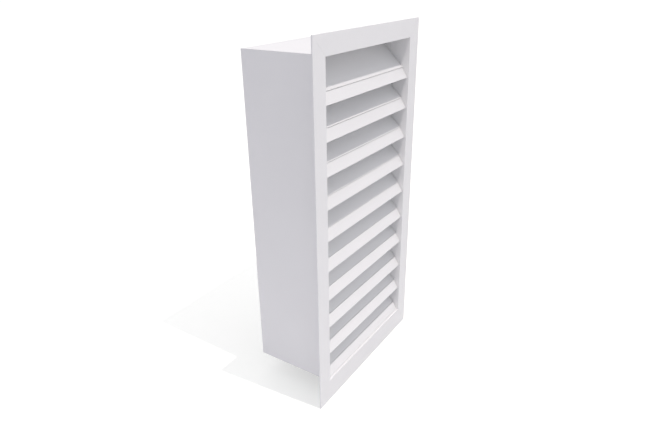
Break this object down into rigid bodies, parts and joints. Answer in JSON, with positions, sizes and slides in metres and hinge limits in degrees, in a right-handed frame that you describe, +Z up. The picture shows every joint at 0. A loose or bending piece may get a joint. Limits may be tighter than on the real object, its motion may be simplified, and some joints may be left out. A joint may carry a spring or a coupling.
{
  "type": "louvred vent",
  "caption": "Rectangular wall vent: a mitred flange and a deep sleeve around fixed slats that slope down to the front, so that air passes and rain runs off.",
  "frame": {"origin": "middle of the opening, on the plane where the flange's back meets the wall", "axes": "+X to the right across the opening as seen from the front, +Y into the wall along the sleeve, +Z up"},
  "size_m": [0.3, 0.14, 0.58],
  "materials": {
    "frame_coating": "white powder coat, satin",
    "slat_coating": "white powder coat, satin",
    "rail_coating": "white powder coat, satin",
    "angle_coating": "white powder coat, satin"
  },
  "bodies": {
    "root": {"frame_top": "frame_coating", "frame_bottom": "frame_coating", "frame_left": "frame_coating", "frame_right": "frame_coating", "slat_rail_left": "rail_coating", "slat_rail_right": "rail_coating", "slat_01": "slat_coating", "slat_02": "slat_coating", "slat_03": "slat_coating", "slat_04": "slat_coating", "slat_05": "slat_coating", "slat_06": "slat_coating", "slat_07": "slat_coating", "slat_08": "slat_coating", "slat_09": "slat_coating", "slat_10": "slat_coating", "corner_angle_top_left": "angle_coating", "corner_angle_top_right": "angle_coating", "corner_angle_bottom_left": "angle_coating", "corner_angle_bottom_right": "angle_coating"}
  },
  "joints": []
}
